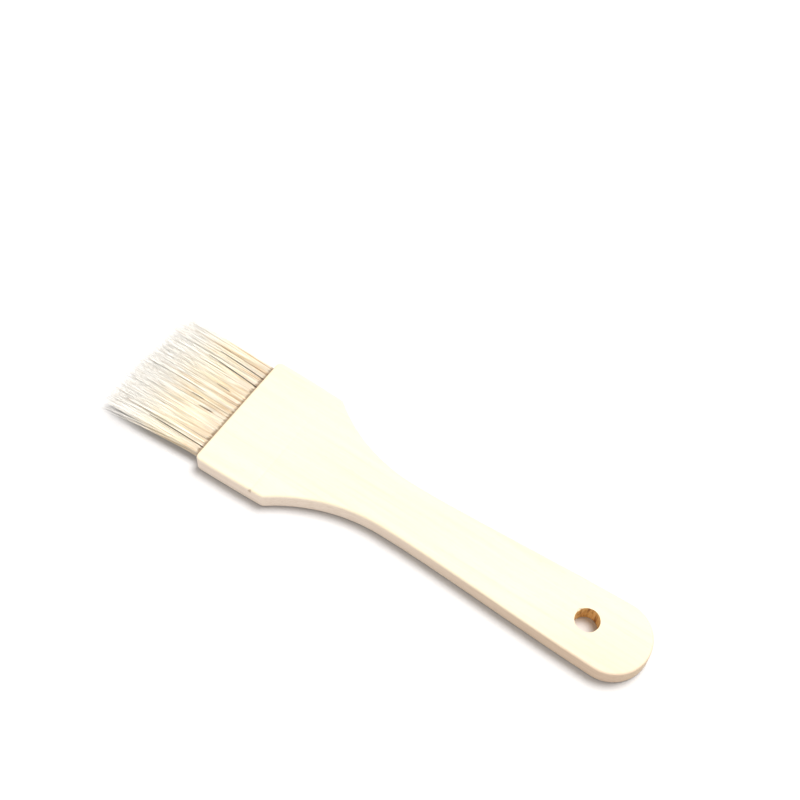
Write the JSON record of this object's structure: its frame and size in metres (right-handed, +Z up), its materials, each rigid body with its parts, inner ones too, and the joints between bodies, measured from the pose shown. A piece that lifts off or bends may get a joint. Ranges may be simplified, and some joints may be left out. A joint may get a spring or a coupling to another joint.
{
  "type": "pastry brush",
  "caption": "Flat wooden pastry brush with natural bristle set in a slot in its head, a narrow neck and a hang hole in its rounded tail. The bristle bends at the slot.",
  "frame": {"origin": "on the surface that the brush lies on, under the middle of its overall box", "axes": "+X along the brush towards the bristle tips, +Y across its width, +Z up through its thickness"},
  "size_m": [0.205, 0.05, 0.007],
  "materials": {
    "wood": "bare pale close-grained wood, sanded, unvarnished",
    "resin": "hard amber adhesive",
    "bristle_root": "natural bristle soaked in adhesive",
    "bristle": "natural undyed hog bristle, cream to tan"
  },
  "bodies": {
    "handle": {"handle": "wood", "resin_setting": "resin", "root_1": "bristle_root", "root_2": "bristle_root", "root_3": "bristle_root", "root_4": "bristle_root", "root_5": "bristle_root", "root_6": "bristle_root", "root_7": "bristle_root"},
    "bristles": {"tuft_1": "bristle", "tuft_2": "bristle", "tuft_3": "bristle", "tuft_4": "bristle", "tuft_5": "bristle", "tuft_6": "bristle", "tuft_7": "bristle"}
  },
  "joints": [
    {"name": "bristle_flex", "type": "hinge", "parent": "handle", "child": "bristles", "pos_m": [0.0649, 0, 0.0035], "axis": [0, -1, 0], "range_deg": [-35, 35], "stiffness_Nm_per_rad": 0.2}
  ]
}
